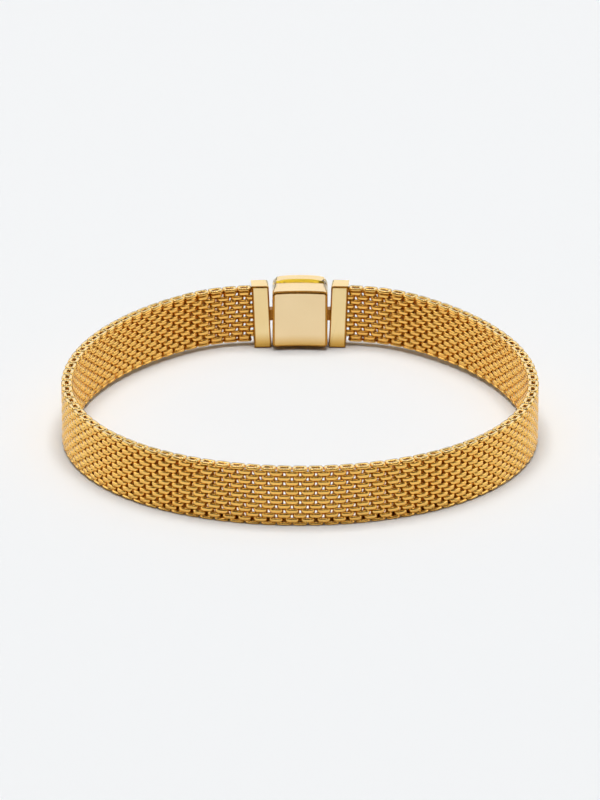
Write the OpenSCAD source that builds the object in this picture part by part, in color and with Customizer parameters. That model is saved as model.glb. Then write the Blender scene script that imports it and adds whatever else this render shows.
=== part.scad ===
// Mesh bracelet: a woven metal band closed in a loop, with an end cap on each end and a box clasp between them.
// It stands on the lower edge of the band's front and on the feet of the two caps. +X right, +Y to the clasp, +Z up.

/* [Band] */
// Width of the woven band, upright as the bracelet stands
band_w = 8; // [6:0.1:10]
// Thickness of the woven band
band_t = 1.5; // [1.2:0.1:2]
// Mean radius of the loop, to the middle of the band
loop_r = 31.8; // [27:0.2:36]

/* [End caps] */
// Length of a cap along the band
cap_l = 2.4; // [2.2:0.1:3.2]
// How far a cap stands past each edge of the band
cap_over = 0.6; // [0.4:0.05:0.8]
// How far a cap stands out on the wrist side of the band
cap_in = 0.9; // [0.5:0.05:1.2]
// How far a cap stands out on the outer side of the band
cap_out = 0.4; // [0.3:0.05:0.8]
// Turn of each cap away from the clasp's line
cap_turn = 3; // [0:0.5:8]
// Lean of a cap's upright edges, with the foot towards the clasp
cap_lean = 3; // [0:0.1:4]
// Length of the rounding at a cap's clasp side
cap_round_l = 0.4; // [0.2:0.05:0.8]
// Height of the rounding at a cap's clasp side
cap_round_h = 0.25; // [0.1:0.05:0.5]
// Depth to which the band is tucked into a cap
band_tuck = 1.3; // [0.8:0.1:1.4]

/* [Lugs] */
// Height of the lug that joins a cap to the clasp
lug_h = 1.6; // [1.4:0.1:2.4]
// Thickness of a lug
lug_t = 1.2; // [0.8:0.1:1.2]
// How far a lug lies inside the middle of the band
lug_in = 0.2; // [0.1:0.05:0.5]
// Radius of the post at the end of a lug
post_r = 0.6; // [0.5:0.05:0.7]
// Height of that post
post_h = 3.6; // [3:0.1:4]

/* [Clasp] */
// Length of the clasp along the band
clasp_l = 7.7; // [7:0.1:9]
// How far the clasp's top and bottom stand back from the caps'
clasp_inset = 0.45; // [0.2:0.05:0.6]
// Thickness of the clasp, lid and tray together
clasp_t = 5.7; // [5.5:0.1:6.2]
// Thickness of the lid
lid_t = 2.1; // [2:0.1:2.3]
// How far the lid stands out from the middle of the band
clasp_out = 3.25; // [3.1:0.05:3.5]
// Gap between the clasp and each cap
clasp_gap = 0.5; // [0.4:0.05:0.8]
// Hollow of the wrist face, from its ends to its middle
face_sag = 0.36; // [0.2:0.02:0.5]
// Rise of the seam and of the outer face
seam_sag = 0.5; // [0.3:0.02:0.6]
// Radius of the clasp's four upright corners, seen from the wrist
corner_r = 0.6; // [0.4:0.1:1]
// Wall at each end of the tray
tray_wall = 0.9; // [0.7:0.05:1.1]
// Floor of the tray, on the wrist side
tray_floor = 0.9; // [0.7:0.05:1]

/* [Hinge] */
// Radius of the hinge pin
pin_r = 0.3; // [0.25:0.01:0.35]
// Metal round the pin in each ear of the tray
ear_wall = 0.35; // [0.3:0.01:0.4]
// Height of each ear
ear_h = 1.4; // [1:0.1:1.6]
// Height of the lid's knuckle above and below the ears
knuckle_h = 0.9; // [0.7:0.05:1]
// How far the pin's foot lies inside the lid's lower face
pin_recess = 0.1; // [0.1:0.05:0.3]
// Metal of the lid that covers the pin's head
pin_cover = 0.45; // [0.3:0.05:0.5]

/* [Clearances] */
// Clearance round the pin, and between the lid and the tray
run_gap = 0.05; // [0.03:0.01:0.08]
// Clearance round the tucked band, the lugs and their posts
seat_gap = 0.1; // [0.08:0.01:0.15]

/* [Hidden] */
$fn = 64;
BAND_GOLD = "#d7aa46";
CAP_GOLD = "#e8c97a";
LID_GOLD = "#d2a850";
STEEL = "#8f8a80";

// Half the loop in arcs, from a cap to the front: radius as a share of loop_r, sweep in degrees.
// One last arc, about a centre on the line of symmetry, closes the front. ARC_STEP is the turn of one chord.
RADIUS = 0;
SWEEP = 1;
ARCS = [
    [0.525, 33],
    [1.2, 54],
    [0.92, 66],
];
ARC_STEP = 4;
LARGE_FN = 360;
ROUND_STEPS = 6;
OVERCUT = 1;

cap_h = band_w + 2 * cap_over;
mid_z = cap_h / 2;
clasp_h = cap_h - 2 * clasp_inset;
half_l = clasp_l / 2;
cap_side_x = half_l + clasp_gap;
mouth_x = cap_side_x + cap_l * cos(cap_turn);

// A heading of 0 runs along +X with the outside of the loop to +Y, and grows clockwise.
function outward(a) = [sin(a), cos(a)];
function heading(i) = i == 0 ? cap_turn : heading(i - 1) + ARCS[i - 1][SWEEP];
function arc_r(i) = ARCS[i][RADIUS] * loop_r;
function joint_xy(i) = i == 0
    ? [mouth_x, 0]
    : joint_xy(i - 1) + arc_r(i - 1) * (outward(heading(i)) - outward(heading(i - 1)));

last_joint = joint_xy(len(ARCS));
last_heading = heading(len(ARCS));
front_r = last_joint.x / sin(last_heading);
front_mid = front_r * (1 + cos(last_heading)) - last_joint.y;
loop_d = front_mid + band_t / 2;

// The band's plane is tilted so that its front edge and the caps' feet stand on one floor.
tilt = asin(mid_z / norm([loop_d, band_w / 2])) - atan(band_w / 2 / loop_d);
front_reach = loop_d * cos(tilt) + band_w / 2 * sin(tilt);
rear_reach = cap_l * sin(cap_turn) + clasp_out;
mouth_y = (front_reach - rear_reach) / 2;
clasp_y = mouth_y + cap_l * sin(cap_turn);

lid_out_y = clasp_y + clasp_out;
seam_y = lid_out_y - lid_t;
face_y = lid_out_y - clasp_t;
seam_r = arch_r(seam_sag);
face_r = arch_r(face_sag);
arch_y = seam_y - seam_r;
lug_y = clasp_y - lug_in;
post_x = half_l - tray_wall - seat_gap - post_r;
pocket_h = post_h + 2 * seat_gap;

// The lid's ends are rounded about the middle of its thickness, and the pin runs through the left one.
end_r = (lid_t - run_gap / 2) / 2;
pin_x = -(half_l - end_r);
end_y = arch_y + sqrt(pow(seam_r + run_gap / 2 + end_r, 2) - pow(pin_x, 2));
ear_r = pin_r + ear_wall;
ear_z = clasp_h / 2 - knuckle_h - run_gap - ear_h / 2;
pin_bottom = mid_z - clasp_h / 2 + pin_recess;
pin_top = mid_z + clasp_h / 2 - pin_cover - run_gap;

// Radius of an arch over the clasp's length with the given rise
function arch_r(sag) = (pow(half_l, 2) + pow(sag, 2)) / (2 * sag);

// Points of the rounding between an edge along x and an upright edge
function corner_round() = let (
    r = (pow(cap_round_l, 2) + pow(cap_round_h, 2)) / (2 * cap_round_h),
    span = asin(cap_round_l / r)
) [for (i = [0:ROUND_STEPS]) let (a = span * (1 - i / ROUND_STEPS)) [cap_round_l - r * sin(a), r * (1 - cos(a))]];

// Points of one arc of half the loop, a distance d outside the band's middle
function arc_points(i, d) = let (
    centre = joint_xy(i) - arc_r(i) * outward(heading(i)),
    steps = ceil(ARCS[i][SWEEP] / ARC_STEP)
) [for (k = [0:steps - 1]) centre + (arc_r(i) + d) * outward(heading(i) + ARCS[i][SWEEP] * k / steps)];

// The last arc, as far as the middle of the front
function front_points(d) = let (
    centre = [0, last_joint.y - front_r * cos(last_heading)],
    sweep = 180 - last_heading,
    steps = ceil(sweep / ARC_STEP)
) [for (k = [0:steps]) centre + (front_r + d) * outward(last_heading + sweep * k / steps)];

// Half of one side of the band, from the end tucked into a cap to the middle of the front
function half_side(d) = concat(
    [[mouth_x, 0] + d * outward(cap_turn) - band_tuck * [cos(cap_turn), -sin(cap_turn)]],
    [for (i = [0:len(ARCS) - 1]) each arc_points(i, d)],
    front_points(d));

// One whole side of the band, from the right cap round the front to the left cap
function whole_side(d) = let (half = half_side(d), last = len(half) - 1)
    concat(half, [for (k = [last - 1:-1:0]) [-half[k].x, half[k].y]]);

module band_plan() {
    outside = whole_side(band_t / 2);
    inside = whole_side(-band_t / 2);
    polygon(concat(outside, [for (k = [len(inside) - 1:-1:0]) inside[k]]));
}

module mesh_band() {
    color(BAND_GOLD) translate([0, mouth_y, mid_z]) rotate([tilt, 0, 0]) translate([0, 0, -band_w / 2])
        linear_extrude(band_w) band_plan();
}

// Side outline of a cap, with the clasp to the left and the band to the right of x = 0
module cap_side() {
    foot_shift = -mid_z * tan(cap_lean);
    round = corner_round();
    foot = [for (p = round) [foot_shift - cap_l + p.x, p.y]];
    head = [for (i = [ROUND_STEPS:-1:0]) [-foot_shift - cap_l + round[i].x, cap_h - round[i].y]];
    polygon(concat([[-foot_shift, cap_h], [foot_shift, 0]], [for (i = [ROUND_STEPS:-1:0]) foot[i]],
        [for (i = [ROUND_STEPS:-1:0]) head[i]]));
}

module cap_shell() {
    inner_y = -band_t / 2 - cap_in;
    outer_y = band_t / 2 + cap_out;
    pocket_t = band_t + 2 * seat_gap;
    pocket_w = band_w + 2 * seat_gap;
    translate([mouth_x, mouth_y, 0]) rotate(-cap_turn) difference() {
        translate([0, outer_y, 0]) rotate([90, 0, 0]) linear_extrude(outer_y - inner_y) cap_side();
        translate([-band_tuck - seat_gap, -pocket_t / 2, mid_z - pocket_w / 2])
            cube([band_tuck + seat_gap + OVERCUT, pocket_t, pocket_w]);
    }
}

module end_cap() {
    lug_root = cap_l - band_tuck - seat_gap;
    cap_shell();
    translate([post_x, lug_y - lug_t / 2, mid_z - lug_h / 2])
        cube([cap_side_x + lug_root / 2 - post_x, lug_t, lug_h]);
    translate([post_x, lug_y, mid_z - post_h / 2]) cylinder(r = post_r, h = post_h);
}

module right_end_cap() {
    color(CAP_GOLD) end_cap();
}

module left_end_cap() {
    color(CAP_GOLD) mirror([1, 0, 0]) end_cap();
}

// The clasp's outline seen from the wrist, as a prism through its whole thickness
module clasp_prism() {
    depth = clasp_t + 2 * OVERCUT;
    translate([0, lid_out_y + OVERCUT, mid_z]) rotate([90, 0, 0]) linear_extrude(depth) union() {
        square([clasp_l - 2 * corner_r, clasp_h], center = true);
        square([clasp_l, clasp_h - 2 * corner_r], center = true);
        for (x = [-1, 1], z = [-1, 1])
            translate([x * (half_l - corner_r), z * (clasp_h / 2 - corner_r)]) circle(r = corner_r);
    }
}

module clasp_disc(r) {
    translate([0, arch_y]) circle(r = r, $fn = LARGE_FN);
}

// Plan of the tray, between the hollow wrist face and the arched seam
module tray_plan() {
    difference() {
        intersection() {
            translate([-half_l, face_y - clasp_t]) square([clasp_l, 2 * clasp_t]);
            clasp_disc(seam_r - run_gap / 2);
        }
        translate([0, face_y - face_r]) circle(r = face_r, $fn = LARGE_FN);
    }
}

// Room in the tray for the posts, and the slots through its ends for the lugs
module lug_room() {
    room_l = clasp_l - 2 * tray_wall;
    slot_t = lug_t / 2 + seat_gap;
    slot_h = lug_h + 2 * seat_gap;
    translate([-room_l / 2, face_y + tray_floor, mid_z - pocket_h / 2]) cube([room_l, clasp_t, pocket_h]);
    translate([-half_l - OVERCUT, lug_y - slot_t, mid_z - slot_h / 2])
        cube([clasp_l + 2 * OVERCUT, clasp_t, slot_h]);
}

module ear(z) {
    translate([pin_x, end_y, z - ear_h / 2]) cylinder(r = ear_r, h = ear_h);
    translate([pin_x - ear_r, end_y - lid_t, z - ear_h / 2]) cube([2 * ear_r, lid_t, ear_h]);
}

module clasp_tray() {
    color(CAP_GOLD) difference() {
        union() {
            intersection() {
                linear_extrude(cap_h) tray_plan();
                clasp_prism();
            }
            for (side = [-1, 1]) ear(mid_z + side * ear_z);
        }
        lug_room();
        translate([pin_x, end_y, 0]) cylinder(r = pin_r + run_gap, h = cap_h);
    }
}

// Plan of the lid: an arched strip whose left end is a full round and whose right end is rounded on the outside
module lid_plan() {
    intersection() {
        difference() {
            clasp_disc(seam_r + lid_t);
            clasp_disc(seam_r + run_gap / 2);
        }
        union() {
            translate([pin_x, arch_y]) square([-2 * pin_x, seam_r + 2 * lid_t]);
            for (x = [pin_x, -pin_x]) translate([x, end_y]) circle(r = end_r);
            translate([0, arch_y]) square([half_l, end_y - arch_y]);
        }
    }
}

// Room in the lid for one ear of the tray, over the lid's whole swing
module ear_room(z) {
    reach = ear_r + run_gap;
    room_h = ear_h + 2 * run_gap;
    translate([pin_x + reach - clasp_l, end_y + reach - clasp_l, z - room_h / 2])
        cube([clasp_l, clasp_l, room_h]);
}

module clasp_lid() {
    color(LID_GOLD) difference() {
        intersection() {
            linear_extrude(cap_h) lid_plan();
            clasp_prism();
        }
        for (side = [-1, 1]) ear_room(mid_z + side * ear_z);
        translate([pin_x, end_y, 0]) cylinder(r = pin_r + run_gap, h = pin_top + run_gap);
    }
}

module hinge_pin() {
    color(STEEL) translate([pin_x, end_y, pin_bottom]) cylinder(r = pin_r, h = pin_top - pin_bottom);
}

mesh_band();
left_end_cap();
right_end_cap();
clasp_tray();
clasp_lid();
hinge_pin();
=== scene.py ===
"""Mesh bracelet: woven gold-plated band, end caps and box clasp, with a plain studio round it."""

import math

import bpy
import numpy as np
from mathutils import Matrix, Vector


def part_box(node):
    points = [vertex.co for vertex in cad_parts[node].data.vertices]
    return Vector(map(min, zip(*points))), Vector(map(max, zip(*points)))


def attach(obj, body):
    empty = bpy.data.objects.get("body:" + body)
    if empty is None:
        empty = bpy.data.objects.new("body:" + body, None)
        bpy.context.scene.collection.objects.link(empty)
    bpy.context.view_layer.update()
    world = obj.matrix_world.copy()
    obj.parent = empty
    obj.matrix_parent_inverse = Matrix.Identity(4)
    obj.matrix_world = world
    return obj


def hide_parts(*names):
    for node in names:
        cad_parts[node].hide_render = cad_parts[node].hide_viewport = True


bl_info = {
    "name": "Mesh Bracelet",
    "version": (1, 0, 0),
    "blender": (4, 5, 0),
    "location": "3D View > Sidebar > Bracelet",
    "description": "Builds a woven mesh bracelet with its clasp, and a plain studio",
    "category": "Add Mesh",
}

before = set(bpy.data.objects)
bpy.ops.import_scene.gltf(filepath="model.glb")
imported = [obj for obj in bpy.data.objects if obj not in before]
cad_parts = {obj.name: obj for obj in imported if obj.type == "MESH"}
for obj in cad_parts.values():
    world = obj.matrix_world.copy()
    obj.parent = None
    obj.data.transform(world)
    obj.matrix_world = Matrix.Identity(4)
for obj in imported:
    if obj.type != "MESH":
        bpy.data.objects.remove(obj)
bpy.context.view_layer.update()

MM = 0.001
PHOTO_WIDTH = 600
SENSOR_WIDTH = 36.0

# The loop in arcs, from a cap to the front: radius as a share of the mean radius, sweep in degrees.
# One last arc, centred on the line of symmetry, closes the front.
LOOP_ARCS = [
    (0.525, 33),
    (1.2, 54),
    (0.92, 66),
]

# Degrees between the points of the loop.
GUIDE_STEP = 1.0

# How finely a wire is drawn: its sides and its steps a turn.
WIRE_SIDES = 8
WIRE_STEPS = 16

# The roundness of a wire's section: 1 is round, 0 is square. Rolling squares the wires, less so the rings.
WIRE_ROUND = 0.5
RING_ROUND = 0.8

# How far the steps of a coil are drawn together at its four corners, in radians.
CORNER_PULL = 0.18

# Points this far out from the wire's middle, as a share of its depth, are on a pressed side.
PRESSED = 0.45

# Points nearer than these are one: in a solid's triangles, in a rounding, and where a ring closes.
SAME_CORNER = 0.001 * MM
SAME_ROUNDING = 0.004 * MM
SAME_SEAM = 0.01 * MM

# Triangles that turn less than this, in degrees, are one flat face.
SAME_PLANE = 0.5

# Faces that turn less than this, in degrees, are shaded as one, and flats lead the shading by this weight.
WIRE_SMOOTH = 60
SHEET_SMOOTH = 35
FLAT_WEIGHT = 80

# How rough the plated sheet is, by its finish.
POLISHED = 0.15
SATIN = 0.2
UNPOLISHED = 0.35

# Edges of the clasp further than this from its outline belong to its hollow.
RIM_WALL = 0.7 * MM

# Edges of a cap further in than this belong to its lug.
RIM_DEPTH = 0.6 * MM

# A rim runs between a face that looks along Y at least this much and one that does at most this much.
RIM_FACE = 0.8
RIM_SIDE = 0.4

# Faces of the lid that look to the front by more than this are on its slope over the seam.
SEAM_FACE = 0.3

# Cuts across an arched face, and the thickness of the lid's top and foot that is arched.
ARCH_CUTS = 23
ARCH_SKIN = 0.02 * MM

# The painted shade at the foot of the clasp and the caps starts at the first height and is full at the
# second.
PAINTED_SHADE_START = 2.6 * MM
PAINTED_SHADE_FULL = 0.3 * MM

# The paper lies this far under the foot of the bracelet, so that the two don't share a plane.
PAPER_GAP = 0.02 * MM


# Small tools


def linear(hex_colour, alpha=1.0):
    """An sRGB hex colour as linear red, green, blue and alpha."""
    channels = [int(hex_colour[i : i + 2], 16) / 255 for i in (0, 2, 4)]
    turned = [c / 12.92 if c <= 0.04045 else ((c + 0.055) / 1.055) ** 2.4 for c in channels]
    return (*turned, alpha)


def darker(colour, share=0.85):
    """A little deeper tone of the same linear colour."""
    return (*[share * channel for channel in colour[:3]], colour[3])


def select_only(obj):
    bpy.ops.object.select_all(action="DESELECT")
    obj.select_set(True)
    bpy.context.view_layer.objects.active = obj


def added(name):
    """Names the primitive that was just added, and puts its place in its mesh."""
    obj = bpy.context.object
    obj.name = name
    obj.data.name = name
    bpy.ops.object.transform_apply(location=True, rotation=True, scale=True)
    return obj


def modify(obj, kind, **settings):
    """Adds a modifier and applies it."""
    select_only(obj)
    modifier = obj.modifiers.new(kind.lower(), kind)
    for key, value in settings.items():
        setattr(modifier, key, value)
    bpy.ops.object.modifier_apply(modifier=modifier.name)


def join(parts, name):
    bpy.ops.object.select_all(action="DESELECT")
    for part in parts:
        part.select_set(True)
    bpy.context.view_layer.objects.active = parts[0]
    bpy.ops.object.join()
    parts[0].name = name
    parts[0].data.name = name
    return parts[0]


def corners(obj):
    """The mesh's vertices as an array with a row for each."""
    flat = np.empty(len(obj.data.vertices) * 3)
    obj.data.vertices.foreach_get("co", flat)
    return flat.reshape(-1, 3)


def set_corners(obj, places):
    obj.data.vertices.foreach_set("co", places.reshape(-1))
    obj.data.update()


def in_edit_mode(obj, *steps):
    """Runs mesh operators on all of the piece, each given as a function."""
    select_only(obj)
    bpy.ops.object.mode_set(mode="EDIT")
    bpy.ops.mesh.select_all(action="SELECT")
    for step in steps:
        step()
    bpy.ops.object.mode_set(mode="OBJECT")


def cut(piece, place, normal, near=0.1 * MM):
    """Divides all faces that a plane crosses; vertices this near to it are taken as on it."""
    in_edit_mode(piece, lambda: bpy.ops.mesh.bisect(plane_co=place, plane_no=normal, threshold=near))


def shade(obj, angle):
    """Shades roundings round up to an angle in degrees, and flats flat."""
    select_only(obj)
    bpy.ops.object.shade_smooth_by_angle(angle=math.radians(angle))
    modify(obj, "WEIGHTED_NORMAL", keep_sharp=True, weight=FLAT_WEIGHT)


def paint(obj, *materials):
    """Gives a piece its finishes, the first of them all over."""
    obj.data.materials.clear()
    for material in materials:
        obj.data.materials.append(material)


def dress(obj, slot, body, *nodes):
    """Hides the nodes that a finished piece stands for, and hangs the piece on the body it rides on. The
    slot is not used.
    """
    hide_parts(*nodes)
    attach(obj, body)


# Finishes


def add_node(tree, kind, links=(), **settings):
    """Adds a node, sets its properties or inputs by name, and links (input, output socket) pairs into it."""
    node = tree.nodes.new(kind)
    for key, value in settings.items():
        if hasattr(node, key):
            setattr(node, key, value)
        else:
            node.inputs[key.replace("_", " ")].default_value = value
    for name, socket in links:
        tree.links.new(node.inputs[name], socket)
    return node


def new_material(name, **shader):
    """A material with one Principled shader, whose plain inputs are given by name."""
    material = bpy.data.materials.new(name)
    material.use_nodes = True
    tree = material.node_tree
    principled = tree.nodes["Principled BSDF"]
    for key, value in shader.items():
        principled.inputs[key.replace("_", " ")].default_value = value
    return material, tree, principled


def plated_wire(props):
    """Hard gold plate on drawn steel wire.

    The eye sees a deep, bright gold, with a fine grain along the wire's skin. Its level faces, where the
    band's
    edges are ground flat, are painted paler: a painted highlight where the tops of the wires catch the
    light.
    """
    material, tree, shader = new_material("gold plated wire", Metallic=1.0, Roughness=0.2)
    coordinates = add_node(tree, "ShaderNodeTexCoord")
    place = coordinates.outputs["Object"]
    # The plate's tone drifts over two or three millimetres.
    tone = add_node(tree, "ShaderNodeTexNoise", [("Vector", place)], Scale=1 / (2.5 * MM), Detail=2.0)
    colour = add_node(
        tree,
        "ShaderNodeMix",
        [("Factor", tone.outputs["Fac"])],
        data_type="RGBA",
    )
    colour.inputs["A"].default_value = props.wire_deep
    colour.inputs["B"].default_value = props.wire_light
    # Level faces are painted paler, a painted highlight where the tops of the wires catch the light above.
    facing = add_node(tree, "ShaderNodeSeparateXYZ", [("Vector", coordinates.outputs["Normal"])])
    upright = add_node(tree, "ShaderNodeMath", operation="ABSOLUTE")
    tree.links.new(upright.inputs[0], facing.outputs["Z"])
    ground = add_node(
        tree, "ShaderNodeMapRange", [("Value", upright.outputs["Value"])], From_Min=0.8, From_Max=0.97
    )
    painted_highlight_mix = add_node(
        tree,
        "ShaderNodeMix",
        [("Factor", ground.outputs["Result"]), ("A", colour.outputs["Result"])],
        data_type="RGBA",
    )
    painted_highlight_mix.inputs["B"].default_value = props.wire_painted_highlight
    tree.links.new(shader.inputs["Base Color"], painted_highlight_mix.outputs["Result"])
    # Marks of drawing and plating are finer than 0.12 mm, and are drawn this coarse so that they show.
    grain = add_node(tree, "ShaderNodeTexNoise", [("Vector", place)], Scale=1 / (0.12 * MM), Detail=3.0)
    gloss = add_node(
        tree, "ShaderNodeMapRange", [("Value", grain.outputs["Fac"])], To_Min=0.12, To_Max=0.22
    )
    tree.links.new(shader.inputs["Roughness"], gloss.outputs["Result"])
    bump = add_node(
        tree, "ShaderNodeBump", [("Height", grain.outputs["Fac"])], Strength=0.15, Distance=0.02 * MM
    )
    tree.links.new(shader.inputs["Normal"], bump.outputs["Normal"])
    return material


def plated_sheet(name, light, deep, roughness, foot=None):
    """Gold plate on pressed sheet.

    The eye sees a smooth pale gold with faint upright polishing lines. With a foot colour it is painted
    deeper in tone towards its foot, a painted shade that stands in for the shaded table it mirrors there.
    """
    material, tree, shader = new_material(name, Metallic=1.0, Roughness=roughness)
    place = add_node(tree, "ShaderNodeTexCoord").outputs["Object"]
    # The tone drifts over about the width of a cap's face.
    tone = add_node(tree, "ShaderNodeTexNoise", [("Vector", place)], Scale=1 / (4 * MM), Detail=1.0)
    colour = add_node(tree, "ShaderNodeMix", [("Factor", tone.outputs["Fac"])], data_type="RGBA")
    colour.inputs["A"].default_value = deep
    colour.inputs["B"].default_value = light
    if foot:
        # Painted shade: the colour deepens towards the foot.
        height = add_node(tree, "ShaderNodeSeparateXYZ", [("Vector", place)])
        low = add_node(
            tree,
            "ShaderNodeMapRange",
            [("Value", height.outputs["Z"])],
            From_Min=PAINTED_SHADE_START,
            From_Max=PAINTED_SHADE_FULL,
            interpolation_type="SMOOTHSTEP",
        )
        colour = add_node(
            tree,
            "ShaderNodeMix",
            [("Factor", low.outputs["Result"]), ("A", colour.outputs["Result"])],
            data_type="RGBA",
        )
        colour.inputs["B"].default_value = foot
    tree.links.new(shader.inputs["Base Color"], colour.outputs["Result"])
    # Polishing lines are finer than 0.12 mm, and are drawn this coarse so that they show.
    stretch = add_node(
        tree,
        "ShaderNodeMapping",
        [("Vector", place)],
        Scale=(1 / (0.12 * MM), 1 / (0.12 * MM), 1 / (4 * MM)),
    )
    lines = add_node(
        tree, "ShaderNodeTexNoise", [("Vector", stretch.outputs["Vector"])], Scale=1.0, Detail=4.0
    )
    gloss = add_node(
        tree,
        "ShaderNodeMapRange",
        [("Value", lines.outputs["Fac"])],
        To_Min=roughness * 0.9,
        To_Max=roughness * 1.1,
    )
    tree.links.new(shader.inputs["Roughness"], gloss.outputs["Result"])
    bump = add_node(
        tree, "ShaderNodeBump", [("Height", lines.outputs["Fac"])], Strength=0.02, Distance=0.02 * MM
    )
    tree.links.new(shader.inputs["Normal"], bump.outputs["Normal"])
    return material


def ground_steel():
    """Centreless-ground steel. The eye sees a plain grey with fine rings round the pin."""
    material, tree, shader = new_material(
        "ground steel", Base_Color=linear("B8B4AC"), Metallic=1.0, Roughness=0.3
    )
    place = add_node(tree, "ShaderNodeTexCoord").outputs["Object"]
    # Grinding leaves rings about 0.05 mm apart.
    stretch = add_node(
        tree,
        "ShaderNodeMapping",
        [("Vector", place)],
        Scale=(1 / (2 * MM), 1 / (2 * MM), 1 / (0.05 * MM)),
    )
    rings = add_node(tree, "ShaderNodeTexNoise", [("Vector", stretch.outputs["Vector"])], Scale=1.0)
    bump = add_node(
        tree, "ShaderNodeBump", [("Height", rings.outputs["Fac"])], Strength=0.2, Distance=0.01 * MM
    )
    tree.links.new(shader.inputs["Normal"], bump.outputs["Normal"])
    return material


# The woven band


def heading_vector(angle):
    """Outward direction where the band runs at this heading, which is 0 along +X and grows clockwise."""
    return np.array([math.sin(angle), math.cos(angle)])


def half_loop(mouth_x, turn, mean_radius):
    """Points of half the band's middle line, from the mouth of the right cap at y = 0 to the front."""
    points = []
    heading = turn
    place = np.array([mouth_x, 0.0])
    for share, sweep_deg in LOOP_ARCS:
        radius = share * mean_radius
        centre = place - radius * heading_vector(heading)
        steps = round(sweep_deg / GUIDE_STEP)
        for k in range(steps):
            points.append(centre + radius * heading_vector(heading + math.radians(sweep_deg) * k / steps))
        heading += math.radians(sweep_deg)
        place = centre + radius * heading_vector(heading)
    radius = place[0] / math.sin(heading)
    centre = np.array([0.0, place[1] - radius * math.cos(heading)])
    steps = round(math.degrees(math.pi - heading) / GUIDE_STEP)
    for k in range(steps + 1):
        points.append(centre + radius * heading_vector(heading + (math.pi - heading) * k / steps))
    return points


def loop_guide(props):
    """The band's middle line as a curve, from the left cap round the front to the right, and its length."""
    turn = props.cap_turn
    tuck = [props.mouth_x - props.tuck * math.cos(turn), props.tuck * math.sin(turn)]
    right = [np.array(tuck), *half_loop(props.mouth_x, turn, props.loop_radius)]
    left = [np.array([-x, y]) for x, y in right[:-1]]
    path = left + right[::-1]
    curve = bpy.data.curves.new("loop guide", "CURVE")
    curve.dimensions = "3D"
    curve.twist_mode = "Z_UP"
    spline = curve.splines.new("POLY")
    spline.points.add(len(path) - 1)
    for point, (x, y) in zip(spline.points, path):
        point.co = (x, y, 0, 1)
    guide = bpy.data.objects.new("loop guide", curve)
    bpy.context.scene.collection.objects.link(guide)
    length = sum(float(np.linalg.norm(b - a)) for a, b in zip(path, path[1:]))
    return guide, length


def loop_place(props, depth):
    """Moves the level loop to its place: the front edge on the floor, the rear at the height of the caps.

    The depth is from the caps' mouths to the outer side of the front.
    """
    half = props.width / 2
    middle_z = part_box("right_end_cap")[1].z / 2
    tilt = math.asin(middle_z / math.hypot(depth, half)) - math.atan(half / depth)
    front_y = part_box("mesh_band")[0].y
    mouth_y = front_y + depth * math.cos(tilt) + half * math.sin(tilt)
    return Matrix.Translation((0, mouth_y, middle_z)) @ Matrix.Rotation(tilt, 4, "X")


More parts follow.
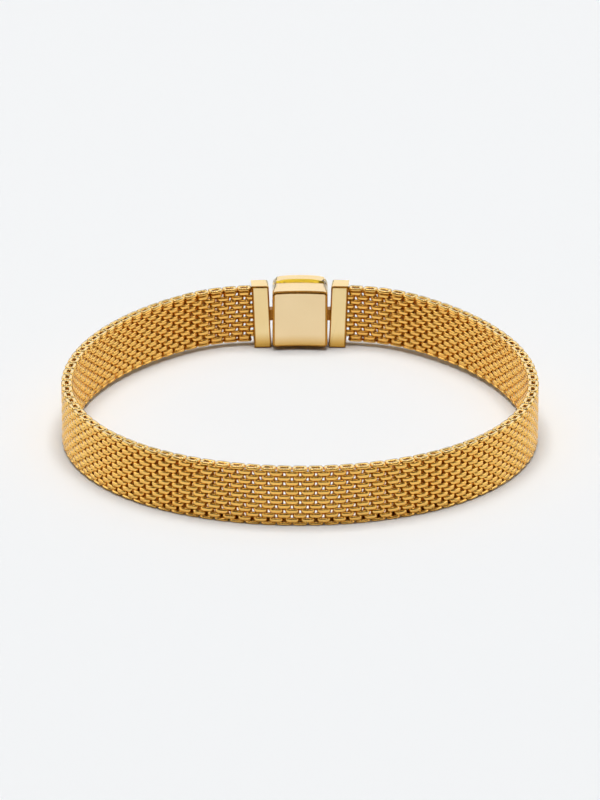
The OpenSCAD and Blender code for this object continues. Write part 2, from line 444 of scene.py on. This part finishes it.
def wound_wire(name, props, hand, length, section, start, sweep, foot, pitch, squareness):
    """A wire wound into an oval coil of the given outer length round an upright axis.

    It runs from the angle start through sweep, where 0 is the middle of an outer run at the height foot.
    Rolling has pressed a long lens-shaped flat on each run, and the band's edges are ground level.
    Without a pitch it is a closed ring.
    """
    bpy.ops.object.select_all(action="DESELECT")
    depth, height, section_round = section
    half_run = (length - depth) / 2
    half_deep = (props.thickness - depth) / 2
    bpy.ops.mesh.primitive_circle_add(
        vertices=WIRE_SIDES,
        radius=1,
        location=(0, -half_run, foot + pitch * start / (2 * math.pi)),
        rotation=(0, math.pi / 2, 0),
    )
    wire = added(name)
    # The round section is squared, and set to its depth and height.
    places = corners(wire)
    about = np.arctan2(places[:, 2] - places[:, 2].mean(), places[:, 1] + half_run) + math.pi / WIRE_SIDES
    across = np.sign(np.cos(about)) * np.abs(np.cos(about)) ** section_round
    upward = np.sign(np.sin(about)) * np.abs(np.sin(about)) ** section_round
    places[:, 1] = -half_run + depth / 2 * across / across.max()
    places[:, 2] = places[:, 2].mean() + height / 2 * upward / upward.max()
    set_corners(wire, places)
    wire.data.transform(Matrix.Rotation(hand * start, 4, "Z"))
    closed = pitch == 0
    steps = round(WIRE_STEPS * sweep / (2 * math.pi))
    modify(
        wire,
        "SCREW",
        axis="Z",
        angle=hand * sweep,
        screw_offset=pitch * sweep / (2 * math.pi),
        steps=steps,
        render_steps=steps,
        use_merge_vertices=closed,
        merge_threshold=SAME_SEAM,
    )
    if not closed:
        in_edit_mode(wire, lambda: bpy.ops.mesh.fill_holes(sides=WIRE_SIDES))

    # The wire's middle at each point, and its height with level runs that rise in the bends.
    places = corners(wire)
    x, y, z = places.T
    angle = hand * np.arctan2(x, -y)
    if closed:
        middle = np.full(len(z), foot)
        level = middle
    else:
        turn = np.round((z - foot) / pitch - angle / (2 * math.pi))
        middle = foot + pitch * (turn + angle / (2 * math.pi))
        half_turn = np.round(angle / math.pi)
        into_bend = angle / math.pi - half_turn
        rise = np.clip((np.abs(into_bend) - props.level_run) / (0.5 - props.level_run), 0, 1) ** 2
        level = foot + pitch * turn + pitch / 2 * (half_turn + np.sign(into_bend) * rise / 2)
    radius = np.hypot(x, y)
    # The steps are drawn together at the corners of a squarish oval, and the wire is set out square to it.
    bent = angle + CORNER_PULL * np.sin(4 * angle)
    n = squareness
    stretch = (np.abs(np.sin(bent)) ** n + np.abs(np.cos(bent)) ** n) ** (-1 / n)
    out = radius - half_run
    places[:, 0] = hand * np.sin(bent) * stretch * half_run
    places[:, 1] = -np.cos(bent) * stretch * half_deep
    slope_x = np.abs(np.sin(bent)) ** (n - 1) * np.sign(np.sin(bent)) / half_run
    slope_y = np.abs(np.cos(bent)) ** (n - 1) * np.sign(np.cos(bent)) / half_deep
    steep = np.hypot(slope_x, slope_y)
    places[:, 0] += hand * out * slope_x / steep
    places[:, 1] -= out * slope_y / steep
    # The flats narrow towards a run's ends, and on the inner side of the band.
    flat = np.abs(out) > PRESSED * depth
    inner = np.clip(-2 * np.cos(bent), 0, 1)
    taper = 1 - flat * (1 - props.lens) * np.maximum(np.sin(bent) ** 2, props.inner_round * inner)
    places[:, 2] = np.clip(level + (z - middle) * taper, 0, props.width)
    if closed:
        places[:, 0] *= 1 + props.ring_flare * places[:, 1] / half_deep
    set_corners(wire, places)
    return wire


def along_band(wire, props, count, guide, guide_length):
    """Repeats one spiral along the band, bends the row round the loop and tilts it onto its edge."""
    step = 2 * props.spiral_pitch
    modify(
        wire,
        "ARRAY",
        use_relative_offset=False,
        use_constant_offset=True,
        constant_offset_displace=(step, 0, 0),
        count=count,
    )
    places = corners(wire)
    places[:, 0] += guide_length / 2 - (count - 1) / 2 * step
    set_corners(wire, places)
    modify(wire, "CURVE", object=guide, deform_axis="POS_X")
    depth = props.thickness / 2 - min(point.co.y for point in guide.data.splines[0].points)
    wire.data.transform(loop_place(props, depth) @ Matrix.Translation((0, 0, -props.width / 2)))
    in_edit_mode(wire, lambda: bpy.ops.mesh.normals_make_consistent(inside=False))
    shade(wire, WIRE_SMOOTH)


class MeshSizes(bpy.types.PropertyGroup):
    """Sizes of the woven band."""

    width: bpy.props.FloatProperty(
        name="Width", description="Width of the band", default=8 * MM, subtype="DISTANCE"
    )
    thickness: bpy.props.FloatProperty(
        name="Thickness", description="Thickness of the band", default=1.5 * MM, subtype="DISTANCE"
    )
    loop_radius: bpy.props.FloatProperty(
        name="Loop radius", description="Mean radius of the loop", default=31.8 * MM, subtype="DISTANCE"
    )
    rows: bpy.props.IntProperty(
        name="Rows", description="Rows of runs across the band, an odd number", default=13, min=5
    )
    spiral_pitch: bpy.props.FloatProperty(
        name="Spiral pitch",
        description="Distance between neighbouring spirals along the band",
        default=1.03 * MM,
        subtype="DISTANCE",
    )
    run_length: bpy.props.FloatProperty(
        name="Run length",
        description="Outer length of one spiral along the band",
        default=1.88 * MM,
        subtype="DISTANCE",
    )
    row_spacing: bpy.props.FloatProperty(
        name="Row spacing",
        description="Distance between rows of runs",
        default=0.66 * MM,
        subtype="DISTANCE",
    )
    wire_height: bpy.props.FloatProperty(
        name="Wire height", description="Height of a rolled wire", default=0.62 * MM, subtype="DISTANCE"
    )
    wire_depth: bpy.props.FloatProperty(
        name="Wire depth", description="Depth of a rolled wire", default=0.5 * MM, subtype="DISTANCE"
    )
    ring_length: bpy.props.FloatProperty(
        name="Ring length",
        description="Outer length of the rings that close a spiral at the band's edges",
        default=2.04 * MM,
        subtype="DISTANCE",
    )
    ring_depth: bpy.props.FloatProperty(
        name="Ring depth",
        description="Depth of the wire in these rings",
        default=0.57 * MM,
        subtype="DISTANCE",
    )
    ring_height: bpy.props.FloatProperty(
        name="Ring height",
        description="Height of the wire in these rings",
        default=0.4 * MM,
        subtype="DISTANCE",
    )
    ring_flare: bpy.props.FloatProperty(
        name="Ring flare",
        description="How much longer a ring is on the band's inner side, as a share",
        default=0.02,
        subtype="FACTOR",
    )
    inner_round: bpy.props.FloatProperty(
        name="Inner round",
        description="0 for runs pressed flat on the band's inner side too, 1 for runs left round there",
        default=0.35,
        subtype="FACTOR",
    )
    squareness: bpy.props.FloatProperty(
        name="Squareness", description="2 for an oval spiral, more for a squarer one", default=4.5
    )
    level_run: bpy.props.FloatProperty(
        name="Level run",
        description="Share of a half turn on each side of a run's middle that lies level",
        default=0.25,
        subtype="FACTOR",
    )
    lens: bpy.props.FloatProperty(
        name="Lens",
        description="Height of the pressed flat at a run's ends, as a share of its height in the middle",
        default=0.6,
        subtype="FACTOR",
    )
    mouth_x: bpy.props.FloatProperty(
        name="Mouth",
        description="Distance of each cap's mouth from the middle of the clasp",
        default=6.747 * MM,
        subtype="DISTANCE",
    )
    cap_turn: bpy.props.FloatProperty(
        name="Cap turn", description="Turn of a cap", default=math.radians(3), subtype="ANGLE"
    )
    tuck: bpy.props.FloatProperty(
        name="Tuck", description="Depth of the band in a cap", default=1.3 * MM, subtype="DISTANCE"
    )


class ORNAMENT_OT_weave_band(bpy.types.Operator):
    """Winds the spirals of both hands, repeats them along the band and bends them round the loop"""

    bl_idname = "ornament.weave_band"
    bl_label = "Weave band"

    def execute(self, context):
        props = context.scene.mesh_sizes
        finish = context.scene.finishes
        row = props.row_spacing
        pitch = 2 * row
        turns = (props.rows - 1) // 2
        lowest = props.width / 2 - turns * row
        square = props.squareness
        wire = (props.wire_depth, props.wire_height, WIRE_ROUND)
        ring = (props.ring_depth, props.ring_height, RING_ROUND)
        guide, length = loop_guide(props)
        material = plated_wire(finish)

        # A right-hand spiral ends in a bend at each edge of the band, where a ring closes it.
        tail = math.radians(45)
        sweep = 2 * math.pi * turns - 2 * tail
        parts = [
            wound_wire("coil", props, 1, props.run_length, wire, tail, sweep, lowest, pitch, square)
        ]
        for foot in (props.ring_height / 2, props.width - props.ring_height / 2):
            parts.append(
                wound_wire(
                    "ring", props, 1, props.ring_length, ring, 0, 2 * math.pi, foot, 0, 2 * square
                )
            )
        outer = join(parts, "right_hand_spirals")
        outer_count = 2 * int((length / 2 - props.tuck) / (2 * props.spiral_pitch)) + 1
        along_band(outer, props, outer_count, guide, length)
        paint(outer, material)
        dress(outer, "woven_gold", "bracelet", "mesh_band")

        # A left-hand spiral starts one row further in and ends between the rings.
        tail = math.radians(90)
        sweep = 2 * math.pi * (turns - 1) + 2 * tail
        inner = wound_wire(
            "left_hand_spirals",
            props,
            -1,
            props.run_length,
            wire,
            -tail,
            sweep,
            lowest + row,
            pitch,
            square,
        )
        along_band(inner, props, outer_count + 1, guide, length)
        paint(inner, material)
        dress(inner, "woven_gold", "bracelet", "mesh_band")
        bpy.data.objects.remove(guide)
        return {"FINISHED"}


# The caps and the clasp


def arch_profile(x, reach):
    """1 in the middle of the clasp and 0 at its sides, flat for most of the way between."""
    return 1 - np.clip(np.abs(x) / reach, 0, 1) ** 4


def crown(piece, rise, slope, reach):
    """Arches the top and the foot of the lid along X, with a slope up from the seam."""
    places = corners(piece)
    low, high = places.min(axis=0), places.max(axis=0)
    for at in np.linspace(-reach, reach, ARCH_CUTS + 2)[1:-1]:
        cut(piece, (at, 0, 0), (1, 0, 0))
    for at in (low[2] + ARCH_SKIN, high[2] - ARCH_SKIN):
        cut(piece, (0, 0, at), (0, 0, 1), near=SAME_CORNER)
    places = corners(piece)
    x, y, z = places.T
    lift = rise * arch_profile(x, reach)
    # The new edge of each cut stays level, and what lies beyond it is lifted.
    skin = 0.75 * ARCH_SKIN
    side = (z > high[2] - skin) * 1.0 - (z < low[2] + skin)
    front = np.abs(side) * (y < (low[1] + high[1]) / 2)
    places[:, 1] = y + front * slope * lift
    places[:, 2] = z + side * lift
    set_corners(piece, places)


def rim_places(piece, side, wall):
    """The vertices near the outline that belong to faces looking along Y, back for side 1."""
    places = corners(piece)
    low, high = places.min(axis=0), places.max(axis=0)
    inside = np.minimum(places - low, high - places)[:, [0, 2]].min(axis=1)
    found = set()
    for face in piece.data.polygons:
        if side * face.normal.y > RIM_FACE:
            found.update(index for index in face.vertices if inside[index] < wall)
    return places[sorted(found)]


def soften_arched(piece, side, width, segments=5):
    """Rounds the outer rim of an arched face: the arch is taken out for it, and then put back."""
    line = rim_places(piece, side, RIM_WALL)
    line = line[np.argsort(line[:, 0])]
    along, first = np.unique(np.round(line[:, 0], 6), return_index=True)
    arch = line[first, 1] - line[first, 1].min()

    def shift(sign):
        places = corners(piece)
        places[:, 1] += sign * np.interp(places[:, 0], along, arch)
        set_corners(piece, places)

    shift(-1)
    in_edit_mode(piece, lambda: bpy.ops.mesh.dissolve_limited(angle_limit=math.radians(SAME_PLANE)))
    soften(piece, side, width, segments=segments)
    for at in np.linspace(along[0], along[-1], ARCH_CUTS + 2)[1:-1]:
        cut(piece, (at, 0, 0), (1, 0, 0))
    shift(1)


def metal_copy(name, node, *materials):
    """A copy of a solid with its triangles merged into its true faces, and its finishes."""
    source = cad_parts[node]
    piece = bpy.data.objects.new(name, source.data.copy())
    piece.data.name = name
    bpy.context.scene.collection.objects.link(piece)
    paint(piece, *materials)
    in_edit_mode(
        piece,
        lambda: bpy.ops.mesh.remove_doubles(threshold=SAME_CORNER),
        lambda: bpy.ops.mesh.dissolve_limited(angle_limit=math.radians(SAME_PLANE)),
    )
    return piece


def soften(piece, side, width, wall=RIM_WALL, depth=1, segments=5):
    """Rounds the outer rim of the faces that look along Y, back for side 1 and front for side -1.

    Edges inside the outer wall stay sharp, and those further in along Y than the depth, such as a lug's.
    The rounding gets the second finish, a darker colour: painted shade.
    """
    select_only(piece)
    bpy.ops.object.mode_set(mode="EDIT")
    bpy.ops.mesh.select_all(action="DESELECT")
    bpy.ops.object.mode_set(mode="OBJECT")
    places = corners(piece)
    low, high = places.min(axis=0), places.max(axis=0)
    beside = {}
    for face in piece.data.polygons:
        for key in face.edge_keys:
            beside.setdefault(key, []).append(side * face.normal.y)
    outermost = max(side * places[:, 1])
    for edge in piece.data.edges:
        facing = sorted(beside[edge.key])
        middle = places[list(edge.vertices)].mean(axis=0)
        outer = min(middle[0] - low[0], high[0] - middle[0], middle[2] - low[2], high[2] - middle[2]) < wall
        rim = len(facing) == 2 and facing[1] > RIM_FACE and abs(facing[0]) < RIM_SIDE
        edge.select = rim and outer and side * middle[1] > outermost - depth
    bpy.ops.object.mode_set(mode="EDIT")
    bpy.ops.mesh.select_mode(type="EDGE")
    bpy.ops.mesh.bevel(offset=width, segments=segments, clamp_overlap=False, material=1)
    bpy.ops.mesh.select_mode(type="VERT")
    bpy.ops.object.mode_set(mode="OBJECT")


def polish(piece):
    """Merges what the rounding drew together, and shades flats flat and roundings round."""
    in_edit_mode(
        piece,
        lambda: bpy.ops.mesh.remove_doubles(threshold=SAME_ROUNDING),
        lambda: bpy.ops.mesh.normals_make_consistent(inside=False),
    )
    shade(piece, SHEET_SMOOTH)


class ORNAMENT_OT_end_caps(bpy.types.Operator):
    """Finishes the two end caps with their lugs and posts"""

    bl_idname = "ornament.end_caps"
    bl_label = "End caps"

    def execute(self, context):
        sizes = context.scene.clasp_sizes
        finish = context.scene.finishes
        material = plated_sheet(
            "polished gold plate, caps", finish.cap_light, finish.cap_deep, POLISHED, finish.foot
        )
        # The rounded rims get a darker colour, a painted shade along the top front edge.
        edge = plated_sheet("gold plate with painted shade, cap rims", finish.edge, darker(finish.edge), POLISHED)
        # The lugs get a dark brown colour, a painted shade for the crevice between cap and clasp.
        painted_lug_shade = plated_sheet("gold plate with painted shade, lugs", finish.painted_lug_shade, darker(finish.painted_lug_shade), UNPOLISHED)
        for node in ("left_end_cap", "right_end_cap"):
            cap = metal_copy(node + "_polished", node, material, edge, painted_lug_shade)
            soften(cap, -1, sizes.cap_edge, wall=1, depth=RIM_DEPTH)
            soften(cap, 1, sizes.rear_edge, wall=1, depth=RIM_DEPTH)
            polish(cap)
            # What lies nearer to the clasp than the cap's side is its lug and post, left as they came.
            lug = [face.index for face in cap.data.polygons if abs(face.center.x) < sizes.cap_side]
            places = corners(cap)
            inward = sizes.cap_inset + sizes.cap_upright * places[:, 2] / places[:, 2].max()
            places[:, 0] -= np.sign(places[:, 0]) * inward * (np.abs(places[:, 0]) > sizes.cap_side)
            set_corners(cap, places)
            # The lug and post get the third finish: painted shade in the crevice between cap and clasp.
            for index in lug:
                cap.data.polygons[index].material_index = 2
            dress(cap, "polished_gold", "bracelet", node)
        return {"FINISHED"}


class ORNAMENT_OT_clasp(bpy.types.Operator):
    """Finishes the clasp's tray, its hinged lid and the hinge pin"""

    bl_idname = "ornament.clasp"
    bl_label = "Clasp"

    def execute(self, context):
        sizes = context.scene.clasp_sizes
        finish = context.scene.finishes
        satin = plated_sheet("satin gold plate", finish.face_light, finish.face_deep, SATIN, finish.foot)
        # The rounded rims get a darker colour, a painted shade along the top front edge.
        edge = plated_sheet("gold plate with painted shade, clasp rims", finish.edge, darker(finish.edge), POLISHED)
        tray = metal_copy("clasp_tray_satin", "clasp_tray", satin, edge)
        soften_arched(tray, -1, sizes.tray_edge)
        soften_arched(tray, 1, sizes.seam_edge, segments=2)
        polish(tray)
        dress(tray, "satin_gold", "bracelet", "clasp_tray")
        polished = plated_sheet(
            "polished gold plate, lid", finish.cap_light, finish.cap_deep, POLISHED, finish.foot
        )
        # The slope over the seam gets a saturated yellow colour: a painted highlight.
        seam = plated_sheet("gold plate with painted highlight, seam", finish.seam, darker(finish.seam), UNPOLISHED)
        lid = metal_copy("clasp_lid_polished", "clasp_lid", polished, seam)
        crown(lid, sizes.lid_rise, sizes.seam_slope, sizes.clasp_reach)
        polish(lid)
        dress(lid, "polished_gold", "lid", "clasp_lid")
        # The slope over the seam is the only part of the lid's front above or below the tray.
        low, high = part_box("clasp_tray")
        for face in lid.data.polygons:
            if face.normal.y < -SEAM_FACE and not low.z < face.center.z < high.z:
                # These faces get the painted highlight.
                face.material_index = 1
        paint(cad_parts["hinge_pin"], ground_steel())
        return {"FINISHED"}


class ClaspSizes(bpy.types.PropertyGroup):
    """Edges of the caps and the clasp."""

    cap_edge: bpy.props.FloatProperty(
        name="Cap edge", description="Rounding of a cap's front edges", default=0.24 * MM, subtype="DISTANCE"
    )
    tray_edge: bpy.props.FloatProperty(
        name="Tray edge",
        description="Rounding of the tray's front edges",
        default=0.34 * MM,
        subtype="DISTANCE",
    )
    rear_edge: bpy.props.FloatProperty(
        name="Rear edge",
        description="Rounding of the caps' rear edges",
        default=0.18 * MM,
        subtype="DISTANCE",
    )
    seam_edge: bpy.props.FloatProperty(
        name="Seam edge",
        description="Rounding of the tray's edges at the seam",
        default=0.06 * MM,
        subtype="DISTANCE",
    )
    seam_slope: bpy.props.FloatProperty(
        name="Seam slope",
        description="How far the lid's arch leans back over the seam, by its height",
        default=1.8,
    )
    clasp_reach: bpy.props.FloatProperty(
        name="Clasp reach",
        description="Distance from the middle of the clasp to its side",
        default=3.85 * MM,
        subtype="DISTANCE",
    )
    cap_inset: bpy.props.FloatProperty(
        name="Cap inset",
        description="Shift of a cap towards the clasp",
        default=0.05 * MM,
        subtype="DISTANCE",
    )
    cap_upright: bpy.props.FloatProperty(
        name="Cap upright",
        description="Further shift of a cap's top towards the clasp",
        default=0.12 * MM,
        subtype="DISTANCE",
    )
    lid_rise: bpy.props.FloatProperty(
        name="Lid rise",
        description="Height of the lid's arch over the tray",
        default=0.3 * MM,
        subtype="DISTANCE",
    )
    # Within this distance a cap is its lug, which gets the painted shade.
    cap_side: bpy.props.FloatProperty(
        name="Cap side",
        description="Distance from the middle of the clasp within which a cap is its unpolished lug",
        default=4.05 * MM,
        subtype="DISTANCE",
    )


class Finishes(bpy.types.PropertyGroup):
    """Colours of the plated metal."""

    wire_light: bpy.props.FloatVectorProperty(
        name="Wire, light", description="Lighter tone of the wire", size=4, subtype="COLOR",
        default=linear("F8CA6E"),
    )
    wire_deep: bpy.props.FloatVectorProperty(
        name="Wire, deep", description="Deeper tone of the wire", size=4, subtype="COLOR",
        default=linear("F2B556"),
    )
    # A painted highlight: the paler colour of the wire's level faces.
    wire_painted_highlight: bpy.props.FloatVectorProperty(
        name="Wire, ground", description="Tone of the wire's ground edges", size=4, subtype="COLOR",
        default=linear("F4D99C"),
    )
    cap_light: bpy.props.FloatVectorProperty(
        name="Cap, light", description="Lighter tone of the caps and the lid", size=4, subtype="COLOR",
        default=linear("F4DCA6"),
    )
    cap_deep: bpy.props.FloatVectorProperty(
        name="Cap, deep", description="Deeper tone of the caps and the lid", size=4, subtype="COLOR",
        default=linear("EFD194"),
    )
    face_light: bpy.props.FloatVectorProperty(
        name="Face, light", description="Lighter tone of the clasp's face", size=4, subtype="COLOR",
        default=linear("F4DBAD"),
    )
    face_deep: bpy.props.FloatVectorProperty(
        name="Face, deep", description="Deeper tone of the clasp's face", size=4, subtype="COLOR",
        default=linear("EFD4A5"),
    )
    # A painted shade: the deeper colour of the caps and the clasp near their foot.
    foot: bpy.props.FloatVectorProperty(
        name="Foot", description="Tone of caps and clasp at their foot", size=4, subtype="COLOR",
        default=linear("D6A850"),
    )
    # A painted highlight: the saturated yellow of the lid's slope over the seam.
    seam: bpy.props.FloatVectorProperty(
        name="Seam", description="Tone of the lid's edge at the seam", size=4, subtype="COLOR",
        default=linear("F8D040"),
    )
    # A painted shade: the darker colour of the rounded rims of caps and clasp.
    edge: bpy.props.FloatVectorProperty(
        name="Edge", description="Tone of the rounded edges of caps and clasp", size=4, subtype="COLOR",
        default=linear("B88234"),
    )
    # A painted shade: the dark colour of the lugs between cap and clasp.
    painted_lug_shade: bpy.props.FloatVectorProperty(
        name="Recess", description="Tone of the unpolished lugs", size=4, subtype="COLOR",
        default=linear("A8702C"),
    )


# The studio


class StageSettings(bpy.types.PropertyGroup):
    """Camera and light."""

    elevation: bpy.props.FloatProperty(
        name="Elevation", description="Camera's height angle", default=math.radians(22.18), subtype="ANGLE"
    )
    distance: bpy.props.FloatProperty(
        name="Distance", description="Camera's distance", default=862.5 * MM, subtype="DISTANCE"
    )
    focal_pixels: bpy.props.FloatProperty(
        name="Focal length", description="Focal length in pixels of the photograph", default=6372.0
    )
    target_y: bpy.props.FloatProperty(
        name="Target Y",
        description="Point in the middle of the view",
        default=-0.69 * MM,
        subtype="DISTANCE",
    )
    target_z: bpy.props.FloatProperty(
        name="Target Z", description="Point in the middle of the view", default=4.25 * MM, subtype="DISTANCE"
    )
    floor_size: bpy.props.FloatProperty(
        name="Floor", description="Side of the floor", default=6.0, subtype="DISTANCE"
    )
    overhead: bpy.props.FloatProperty(
        name="Overhead", description="Brightness of the lamp above, which lights the paper", default=8.33
    )
    lamp_side: bpy.props.FloatProperty(
        name="Lamp side", description="Side of the lamp above", default=1.26, subtype="DISTANCE"
    )
    above: bpy.props.FloatProperty(
        name="Above", description="Brightness of the softbox above, which the metal mirrors", default=5.0
    )
    rear: bpy.props.FloatProperty(
        name="Rear", description="Brightness of the softbox behind the clasp", default=0.98
    )
    sides: bpy.props.FloatProperty(
        name="Sides", description="Brightness of the softboxes on both sides", default=1.62
    )
    fill: bpy.props.FloatProperty(name="Fill", description="Brightness of the room's ceiling", default=0.35)
    room: bpy.props.FloatProperty(name="Room", description="Brightness all round", default=0.13)


def stage_camera(stage):
    """A camera in front of the loop, looking down on it."""
    camera = bpy.data.cameras.new("camera")
    camera.sensor_fit = "HORIZONTAL"
    camera.sensor_width = SENSOR_WIDTH
    camera.lens = stage.focal_pixels / PHOTO_WIDTH * SENSOR_WIDTH
    camera.clip_start = 0.01
    camera.clip_end = 20
    holder = bpy.data.objects.new("camera", camera)
    bpy.context.scene.collection.objects.link(holder)
    target = Vector((0, stage.target_y, stage.target_z))
    away = Vector((0, -math.cos(stage.elevation), math.sin(stage.elevation)))
    holder.location = target + stage.distance * away
    holder.rotation_euler = (math.pi / 2 - stage.elevation, 0, 0)
    bpy.context.scene.camera = holder


def stage_floor(stage):
    """White paper, matt, so that it takes soft shadows and throws light up into the gold."""
    bpy.ops.object.select_all(action="DESELECT")
    bpy.ops.mesh.primitive_plane_add(size=stage.floor_size, location=(0, 0, -PAPER_GAP))
    floor = added("floor")
    material, tree, shader = new_material("white studio paper", Base_Color=linear("EFEFEF"), Roughness=0.9)
    floor.data.materials.append(material)


def softbox(name, centre, towards, width, height, brightness):
    """A rectangular area light whose face has the given brightness, turned towards a point."""
    lamp = bpy.data.lights.new(name, "AREA")
    lamp.shape = "RECTANGLE"
    lamp.size = width
    lamp.size_y = height
    lamp.energy = brightness * math.pi * width * height
    holder = bpy.data.objects.new(name, lamp)
    bpy.context.scene.collection.objects.link(holder)
    holder.location = centre
    holder.rotation_euler = (Vector(towards) - Vector(centre)).to_track_quat("-Z", "Y").to_euler()
    return holder


def stage_light(stage):
    """Soft light from above for the paper, and large soft faces round about for the metal to mirror."""
    scene = bpy.context.scene
    scene.view_settings.view_transform = "Standard"
    world = bpy.data.worlds.new("studio")
    world.use_nodes = True
    scene.world = world
    background = world.node_tree.nodes["Background"]
    background.inputs["Color"].default_value = linear("F4ECE4")
    background.inputs["Strength"].default_value = stage.room
    side = stage.lamp_side
    lamp = softbox("overhead lamp", (0, 0.1, 2.2), (0, 0, 0), side, side, stage.overhead)
    lamp.data.color = linear("FEFFFC")[:3]
    sky = softbox("room fill", (0, 0, 3.0), (0, 0, 0), 6.0, 6.0, stage.fill)
    sky.data.color = linear("DCE6FF")[:3]
    # These two light the paper, and the metal doesn't mirror them.
    lamp.visible_glossy = False
    sky.visible_glossy = False
    # The softboxes are there for the metal to mirror, and throw no long shadows across the paper.
    for name, centre, width, height, brightness, colour in (
        ("overhead softbox", (0, 0.1, 2.2), 1.6, 1.6, stage.above, "FFFFFF"),
        ("rear softbox", (0, 3.0, 1.6), 5.0, 2.4, stage.rear, "FFFFFF"),
        ("left softbox", (-2.4, 0.4, 1.1), 3.0, 2.0, stage.sides, "E4F0FF"),
        ("right softbox", (2.4, 0.4, 1.1), 3.0, 2.0, stage.sides, "E4F0FF"),
    ):
        box = softbox(name, centre, (0, 0, 0), width, height, brightness)
        box.data.color = linear(colour)[:3]
        box.visible_diffuse = False


class ORNAMENT_OT_stage(bpy.types.Operator):
    """Adds the floor, the soft light and the camera"""

    bl_idname = "ornament.stage"
    bl_label = "Studio"

    def execute(self, context):
        stage = context.scene.stage_settings
        stage_camera(stage)
        stage_floor(stage)
        stage_light(stage)
        return {"FINISHED"}


class ORNAMENT_PT_bracelet(bpy.types.Panel):
    """Lists the bracelet's sizes and the steps that build it."""

    bl_idname = "ORNAMENT_PT_bracelet"
    bl_label = "Mesh Bracelet"
    bl_space_type = "VIEW_3D"
    bl_region_type = "UI"
    bl_category = "Bracelet"

    def draw(self, context):
        layout = self.layout
        for step in STEPS:
            layout.operator(step.bl_idname)
        for group in GROUPS:
            box = layout.box()
            for name in GROUPS[group].__annotations__:
                box.prop(getattr(context.scene, group), name)


STEPS = (
    ORNAMENT_OT_weave_band,
    ORNAMENT_OT_end_caps,
    ORNAMENT_OT_clasp,
    ORNAMENT_OT_stage,
)
GROUPS = {
    "mesh_sizes": MeshSizes,
    "clasp_sizes": ClaspSizes,
    "finishes": Finishes,
    "stage_settings": StageSettings,
}


def register():
    for group, kind in GROUPS.items():
        bpy.utils.register_class(kind)
        setattr(bpy.types.Scene, group, bpy.props.PointerProperty(type=kind))
    for step in STEPS:
        bpy.utils.register_class(step)
    bpy.utils.register_class(ORNAMENT_PT_bracelet)


def unregister():
    bpy.utils.unregister_class(ORNAMENT_PT_bracelet)
    for step in reversed(STEPS):
        bpy.utils.unregister_class(step)
    for group, kind in GROUPS.items():
        delattr(bpy.types.Scene, group)
        bpy.utils.unregister_class(kind)


def main():
    register()
    bpy.ops.ornament.weave_band()
    bpy.ops.ornament.end_caps()
    bpy.ops.ornament.clasp()
    bpy.ops.ornament.stage()


if __name__ == "__main__":
    main()
